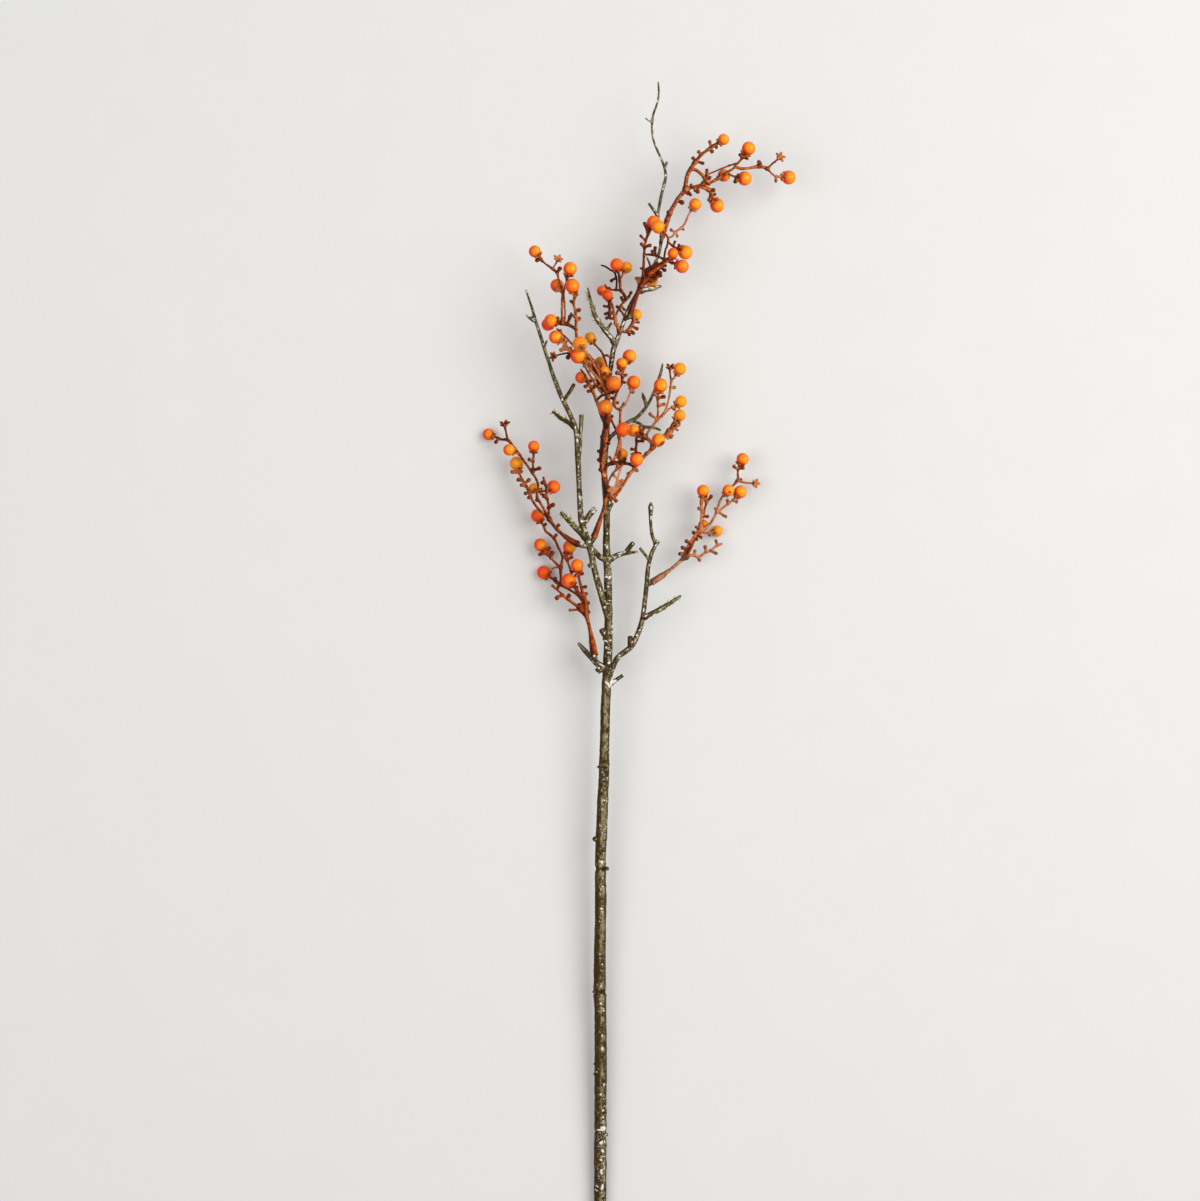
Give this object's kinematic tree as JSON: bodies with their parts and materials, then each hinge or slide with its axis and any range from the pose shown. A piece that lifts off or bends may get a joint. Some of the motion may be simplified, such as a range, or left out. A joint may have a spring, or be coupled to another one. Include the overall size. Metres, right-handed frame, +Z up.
{
  "type": "hypericum berry stem",
  "caption": "Cut hypericum stem lying flat: a long woody stalk with bare side twigs and branching red-brown sprays of round orange berries.",
  "frame": {"origin": "on the surface the stem lies on, under the middle of its outline seen from above", "axes": "+Y along the stem from the cut butt to the tip, +X to the side of the long bare right-hand spray, +Z up from the surface"},
  "size_m": [0.2812, 1.0311, 0.0884],
  "materials": {
    "bark": "rough olive-brown bark with ring scars and pale flecks",
    "stalk": "satin brick-red to brown berry stalks",
    "berry": "smooth satin orange skin, redder at the calyx",
    "berry_red": "smooth satin red-orange skin",
    "berry_ochre": "smooth satin yellow-ochre skin"
  },
  "bodies": {
    "root": {"main_stem": "bark", "left_branch": "bark", "right_branch": "bark", "spray_upper": "stalk", "spray_top_right": "stalk", "spray_small": "stalk", "spray_upper_middle": "stalk", "spray_upper_left": "stalk", "spray_centre": "stalk", "spray_left": "stalk", "spray_lower_left": "stalk", "spray_right": "stalk", "berry_upper_1": "berry", "berry_upper_2": "berry", "berry_upper_3": "berry", "berry_upper_4": "berry", "berry_upper_5": "berry", "berry_top_right_1": "berry", "berry_top_right_2": "berry", "berry_top_right_3": "berry", "berry_top_right_4": "berry", "berry_top_right_5": "berry", "berry_upper_middle_1": "berry", "berry_upper_middle_2": "berry", "berry_upper_middle_3": "berry", "berry_upper_left_1": "berry", "berry_upper_left_2": "berry", "berry_upper_left_3": "berry", "berry_upper_left_4": "berry", "berry_upper_left_5": "berry", "berry_upper_left_6": "berry", "berry_upper_left_7": "berry_ochre", "berry_centre_1": "berry", "berry_centre_2": "berry_red", "berry_centre_3": "berry", "berry_centre_4": "berry", "berry_centre_5": "berry", "berry_centre_6": "berry", "berry_centre_7": "berry", "berry_centre_8": "berry", "berry_centre_9": "berry", "berry_centre_10": "berry_red", "berry_centre_11": "berry", "berry_centre_12": "berry", "berry_left_1": "berry", "berry_left_2": "berry", "berry_left_3": "berry_ochre", "berry_left_4": "berry", "berry_left_5": "berry_red", "berry_lower_left_1": "berry", "berry_lower_left_2": "berry_red", "berry_lower_left_3": "berry_red", "berry_lower_left_4": "berry", "berry_lower_left_5": "berry", "berry_lower_left_6": "berry", "berry_right_1": "berry", "berry_right_2": "berry", "berry_right_3": "berry", "berry_right_4": "berry", "berry_right_5": "berry"}
  },
  "joints": []
}
